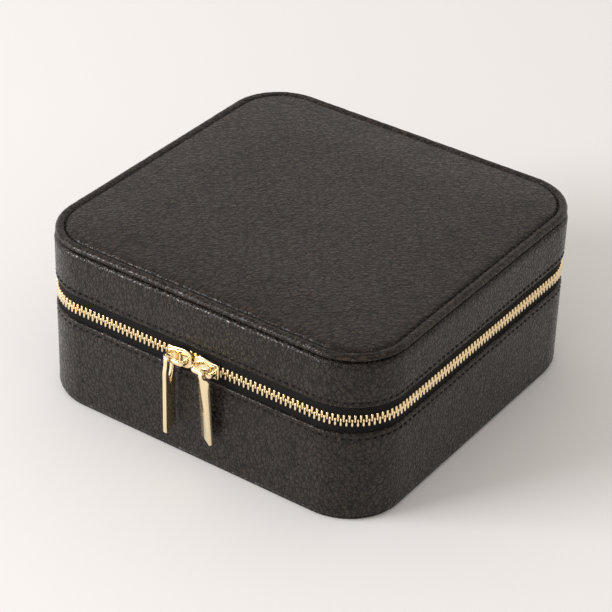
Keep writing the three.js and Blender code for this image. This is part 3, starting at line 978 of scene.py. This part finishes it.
def bridge_shape():
    """The arch that the pull hangs on: a flat polished band from the shoulders to the tail."""
    foot = SLIDER_PLATE - 0.3
    high = PIVOT_DEPTH + BRIDGE_THICKNESS / 2
    low = PIVOT_DEPTH - BRIDGE_THICKNESS / 2
    start, end = BRIDGE_FROM, BRIDGE_TO
    near, far = start + BRIDGE_LEG, end - BRIDGE_LEG
    outer = np.concatenate([
        bezier((start, foot), (start, high - 1), (start + 0.6, high), (start + 3, high), 10),
        bezier((end - 3, high), (end - 0.6, high), (end, high - 1), (end, foot), 10),
    ])
    inner = np.concatenate([
        bezier((near, foot), (near, low - 0.6), (near + 0.4, low), (start + 3.2, low), 10),
        bezier((end - 3.2, low), (far - 0.4, low), (far, low - 0.6), (far, foot), 10),
    ])
    middle = (outer + inner) / 2
    reach = (outer - inner) / 2
    flare = 1 + 0.35 * (1 - smoothstep(foot, low, middle[:, 1]))
    around = np.radians(np.arange(0, 360, 22.5))
    across = np.sign(np.cos(around)) * np.abs(np.cos(around)) ** 0.7
    through = np.sign(np.sin(around)) * np.abs(np.sin(around)) ** 0.7
    points = np.zeros((len(middle), len(around), 3))
    points[..., 0] = middle[:, :1] + reach[:, :1] * through
    points[..., 2] = middle[:, 1:] + reach[:, 1:] * through
    points[..., 1] = BRIDGE_HALF_WIDTH * flare[:, None] * across
    rows, columns = points.shape[:2]
    return points.reshape(-1, 3), grid_faces(rows, columns, False, True) + end_caps(rows, columns)


def pull_shape(turn):
    """The long flat pull, x down from its pivot, tip on the -y edge, its blade turned by turn degrees."""
    half, head, long = PULL_HALF_WIDTH, PULL_HEAD, PULL_LENGTH
    bend = np.radians(np.arange(-90, 91, 12))
    outline = [(-head * math.cos(angle), head * math.sin(angle)) for angle in bend]
    right = [(1.0, head), (2.0, head * 1.02), (3.5, head + 0.35), (5.2, half - 0.1), (7.0, half)]
    steps = [(x, half) for x in np.arange(8.0, long - PULL_SLANT - 1, 1.0)]
    edge = right + steps
    outline += edge + [(long - PULL_SLANT, half - 0.1), (long - 0.5, 0.2 - half)]
    outline += [(x, -y) for x, y in reversed(edge)]
    eye = [(-PULL_EYE * math.cos(angle), -PULL_EYE * math.sin(angle)) for angle in bend]
    narrowing = [(2.0, 1.62), (4.0, 1.55), (6.0, 1.25), (8.0, 0.75), (PULL_V_END - 0.7, 0.25)]
    eye += [(x, -y) for x, y in narrowing] + [(PULL_V_END, 0.0)] + narrowing[::-1]
    thick = PULL_HALF_THICKNESS
    blank = plate_shape([outline, eye], -thick, thick, 0.22)
    recess = [(-1.0, 0.9), (0.5, 2.05), (5.0, 2.0), (9.0, 1.2), (PULL_V_END + 2.0, 0.0)]
    recess += [(x, -y) for x, y in recess[-2::-1]]
    groove = plate_shape([recess], thick - 0.4, thick + 1.5, 0.35)
    behind = (groove[0] * np.array([1, 1, -1]), groove[1])
    points, faces = carved(blank, [groove, behind])
    angle = math.radians(turn) * smoothstep(0.3, 3.0, points[:, 0])
    across, through = points[:, 1].copy(), points[:, 2].copy()
    points[:, 1] = across * np.cos(angle) + through * np.sin(angle)
    points[:, 2] = through * np.cos(angle) - across * np.sin(angle)
    return points, faces


def sliders_and_pulls():
    for side, way in (("left", -1), ("right", 1)):
        origin = (SLIDER_X[side], -HALF_Y, ZIP_Z)
        axes = [(way, 0, 0), (0, 0, way), (0, -1, 0)]
        body = f"slider_{side}"
        metal(f"{body}_plates", body, f"{body}_body", placed(slider_shape(), origin, axes))
        metal(f"{body}_arch", body, f"{body}_bridge", placed(bridge_shape(), origin, axes))
        lean = math.radians(PULL_LEAN[side])
        hang = [(0, math.sin(lean), -math.cos(lean)), (0, math.cos(lean), math.sin(lean)), (1, 0, 0)]
        pull = placed(pull_shape(PULL_TURN[side]), joint_place(f"pull_{side}_swing"), hang)
        metal(f"pull_{side}_tag", f"pull_{side}", f"pull_{side}_tab", pull)


def end_stops():
    """A folded clip over both tapes at each end of the zip."""
    for side, way in (("left", -1), ("right", 1)):
        node = f"zip_end_stop_{side}"
        low, high = box_mm(node)
        across, depth, tall = (high - low) / 2
        outline = mirrored([
            (across, tall - 0.5), (across - 0.5, tall), (0.5 - across, tall),
            (-across, tall - 0.5), (-across, 0.9), (0.3 - across, 0.6),
        ])
        clip = plate_shape([outline], -depth, depth, 0.35)
        axes = [(way, 0, 0), (0, 0, 1), (0, 1, 0)]
        metal(f"{node}_clip", "base", node, placed(clip, (low + high) / 2, axes))


# -------- the hinge gusset

def gusset(name, node, material, bulge):
    """A strip across the back between the base and the lid, pushed outwards by bulge near the zip."""
    low, high = box_mm(node)
    columns = np.arange(low[0], high[0] + 0.1, 1.5)
    rows = np.arange(low[2], high[2] + 0.1, 0.75)
    x, z = np.meshgrid(columns, rows, indexing="ij")
    near_middle = np.exp(-(((z - ZIP_Z) / 4.0) ** 2))
    grid = np.stack([x, np.zeros_like(x), z], axis=2)
    y = bulge * near_middle * (1 + 0.5 * folds(grid, (9.0, 9.0, 2.5), 41))
    outer = np.stack([x, high[1] + y, z], axis=2)
    inner = np.stack([x, low[1] + y, z], axis=2)
    around = np.concatenate([outer, inner[:, ::-1]], axis=1)
    piece = loft(name, around, material, closed_way=False, sharp_angle=60)
    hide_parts(node)
    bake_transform(piece)


# -------- the lined inside

HIDDEN_EDGE, OPEN_EDGE = 0.2, 0.65


def wall_lining(body, below, above, seed):
    """Suede over thin padding, its edges rounded to the radii below and above."""
    outer = side_inset("base_wall_lining")
    inner = side_inset("base_floor_lining") - 0.3
    low, high = (corner[2] for corner in box_mm(f"{body}_wall_lining"))
    section = rounded_section([
        (outer, low, below), (outer, high, above), (inner, high, above), (inner, low, below),
    ], longest=2.5)

    def swell(points, outline):
        inwards = smoothstep(outer + 0.5, inner, outline[:, 0])
        return 0.16 * inwards * (folds(points, (24.0, 24.0, 16.0), seed) - 1)

    piece = wall_loft(f"{body}_lining", CASE.even(2.0), section, SUEDE, swell)
    fit(piece, body, f"{body}_wall_lining")


def floor_pad():
    low, high = box_mm("base_floor_lining")
    inset = side_inset("base_floor_lining")
    insets = np.concatenate([np.arange(inset + 1.2, 19, 1.5), np.arange(20, HALF_Y, 3.0), [HALF_Y]])
    profile = [
        (HALF_Y, low[2]), (40, low[2]), (inset + 0.4, low[2]), (inset, low[2] + 0.3),
        (inset + 0.4, high[2] - 0.15),
    ] + [(depth, high[2]) for depth in insets]

    def shape(points):
        upper = points[..., 2] > high[2] - 0.01
        return upper * 0.12 * (folds(points, 20.0, 51) - 1)

    piece = plan_cover("base_floor_pad", CASE, 2.5, profile, SUEDE, shape)
    fit(piece, "base", "base_floor_lining")


def rounded_block(low, high, corner, edge, step):
    """A box with corners rounded in plan and softly rounded top and bottom edges."""
    middle = (low + high) / 2
    half = (high - low) / 2
    outline = Plan(half[0], half[1], corner)
    ways = outline.even(step)
    turn = np.radians(np.linspace(90, 0, 5))
    bottom = [(edge * (1 - math.cos(angle)), edge * (1 - math.sin(angle)) - half[2]) for angle in turn]
    rows = max(3, int(half[2] * 2 / step))
    sides = [(0.0, z) for z in np.linspace(edge - half[2], half[2] - edge, rows)[1:-1]]
    top = [(inset, -z) for inset, z in bottom[::-1]]
    layers = bottom + sides + top
    point, normal, _ = outline.at(ways)
    points = np.array([
        [(*(place - inset * out), z) for place, out in zip(point, normal)]
        for inset, z in layers
    ]) + middle
    return points, grid_faces(len(layers), len(ways), False, True) + end_caps(len(layers), len(ways))


def dividers():
    for node in ("divider_long", "divider_cross_left", "divider_cross_right", "divider_short"):
        low, high = box_mm(node)
        points, faces = rounded_block(low, high, 1.2, 1.35, 1.5)
        points = points + 0.12 * folds(points, 13.0, 61)[..., None] * np.array([1, 1, 0.4])
        piece = mesh_piece(f"{node}_wrap", points, faces, SUEDE)
        fit(piece, "base", node)


ROLL_RADIUS = 5.0
ROLL_ROOM = 0.5
ROLL_SWELL = 0.8
ROLL_VOXEL = 2.0
ROLL_PRESSURE = 4.0
CLOTH_FRAMES = 20


def inflate(piece):
    """Swells a soft piece as cloth from inside, no point further than the cap, and bakes the result."""
    remesh = piece.modifiers.new("remesh", "REMESH")
    remesh.mode = "VOXEL"
    remesh.voxel_size = ROLL_VOXEL * MM
    bake_modifiers(piece)
    start = vertex_places(piece)
    cloth = piece.modifiers.new("cloth", "CLOTH")
    cloth.settings.use_pressure = True
    cloth.settings.uniform_pressure_force = ROLL_PRESSURE
    cloth.settings.effector_weights.gravity = 0
    cloth.settings.quality = 6
    scene = bpy.context.scene
    for moment in range(1, CLOTH_FRAMES + 1):
        scene.frame_set(moment)
    bake_modifiers(piece)
    scene.frame_set(1)
    move = vertex_places(piece) - start
    length = np.linalg.norm(move, axis=1)
    places = start + move * np.minimum(1, ROLL_SWELL * MM / np.maximum(length, 1e-9))[:, None]
    piece.data.vertices.foreach_set("co", places.astype(np.float32).ravel())
    smooth = piece.modifiers.new("smooth", "SUBSURF")
    smooth.levels = 1
    bake_modifiers(piece)
    piece.data.shade_smooth()


def vertex_places(piece):
    places = np.zeros(len(piece.data.vertices) * 3, np.float32)
    piece.data.vertices.foreach_get("co", places)
    return places.reshape(-1, 3).astype(float)


def bake_modifiers(piece):
    """Applies every modifier on the piece."""
    bpy.context.view_layer.update()
    graph = bpy.context.evaluated_depsgraph_get()
    mesh = bpy.data.meshes.new_from_object(piece.evaluated_get(graph))
    piece.modifiers.clear()
    old = piece.data
    piece.data = mesh
    bpy.data.meshes.remove(old)


def ring_rolls():
    """Padded rolls swollen as cloth; rolls of the same length share one simulated shape."""
    swollen = {}
    for number in range(1, 8):
        node = f"ring_roll_{number}"
        low, high = box_mm(node)
        centre = Vector((low + high) / 2 * MM)
        length = round(high[0] - low[0], 1)
        if length not in swollen:
            half = (high - low) / 2 - ROLL_ROOM
            block = rounded_block(-half, half, ROLL_RADIUS, ROLL_RADIUS, 2.0)
            template = mesh_piece("roll", *block, SUEDE)
            inflate(template)
            swollen[length] = template.data
            bpy.data.objects.remove(template)
        mesh = swollen[length].copy()
        mesh.transform(Matrix.Translation(centre))
        piece = new_object(f"{node}_pad", mesh)
        fit(piece, "base", node)
    for mesh in swollen.values():
        bpy.data.meshes.remove(mesh)


def lid_pad():
    low, high = box_mm("lid_lining_pad")
    inset = side_inset("lid_lining_pad")
    insets = np.concatenate([np.arange(inset + 1.0, 19.5, 1.0), np.arange(20, HALF_Y, 4.0), [HALF_Y]])

    def under(depth):
        """The pad's lower face, puffed between the wall and the mirror's frame."""
        return low[2] + 0.5 * np.exp(-(depth - inset) / 1.5) + 0.25 * smoothstep(15, 20, depth)

    profile = [(HALF_Y, high[2]), (40, high[2]), (inset + 0.6, high[2]), (inset, high[2] - 0.5)]
    profile += [(inset, low[2] + 1.3), (inset + 0.3, low[2] + 0.8)]
    profile += list(zip(insets, under(insets)))

    def shape(points):
        lower = points[..., 2] < low[2] + 0.9
        return lower * 0.15 * (folds(points, 14.0, 71) + 0.6)

    piece = plan_cover("lid_pad", CASE, 2.0, profile, SUEDE, shape)
    fit(piece, "lid", "lid_lining_pad")


def mirror():
    low, high = box_mm("mirror_glass")
    corner, bevel = 10.0, 0.35
    bottom, top = low[2], high[2]
    glass_plan = Plan(high[0], high[1], corner)
    profile = [
        (high[1], top), (2.0, top), (bevel, top), (0.0, top - bevel),
        (0.0, bottom + bevel), (bevel, bottom), (2.0, bottom), (high[1], bottom),
    ]
    glass = plan_cover("mirror_pane", glass_plan, 1.5, profile, MIRROR, sharp_angle=30)
    fit(glass, "lid", "mirror_glass")

    frame_low, frame_high = box_mm("mirror_frame")
    frame_plan = Plan(frame_high[0], frame_high[1], corner + frame_high[0] - high[0])
    width = frame_high[0] - high[0] - 0.3
    bottom, top = frame_low[2], frame_high[2]
    section = rounded_section([
        (0.0, top, 0.3), (0.0, bottom, 1.2), (width, bottom, 1.2), (width, top, 0.3),
    ], longest=1.0)
    points = frame_plan.points(frame_plan.even(1.5), section[:, 0], section[:, 1])
    border = loft("mirror_border", points, SUEDE)
    fit(border, "lid", "mirror_frame")


def repaint_boards():
    """The stiffening boards keep their CAD shapes."""
    for node in ("base_floor_board", "base_wall_board", "lid_wall_board", "lid_top_board"):
        mesh = frame["nodes"][node].data
        for index in range(len(mesh.materials)):
            mesh.materials[index] = BOARD


# -------- build

make_camera()
make_light()
make_floor()

base_wall()
bottom_panel()
lid_wall()
lid_top()
foam_slabs()
stitching()
for row_side, row_body, row in ((-1, "base", "lower"), (1, "lid", "upper")):
    teeth_row(row_side, row_body, f"{row}_teeth_row")
    zip_tape(row_side, row_body, f"{row}_zip_tape")
sliders_and_pulls()
end_stops()
gusset("hinge_leather", "hinge_gusset_leather", WALL_LEATHER, 0.3)
gusset("hinge_lining", "hinge_gusset_lining", SUEDE, 0.0)

wall_lining("base", HIDDEN_EDGE, OPEN_EDGE, 81)
wall_lining("lid", OPEN_EDGE, HIDDEN_EDGE, 91)
floor_pad()
dividers()
ring_rolls()
lid_pad()
mirror()
repaint_boards()
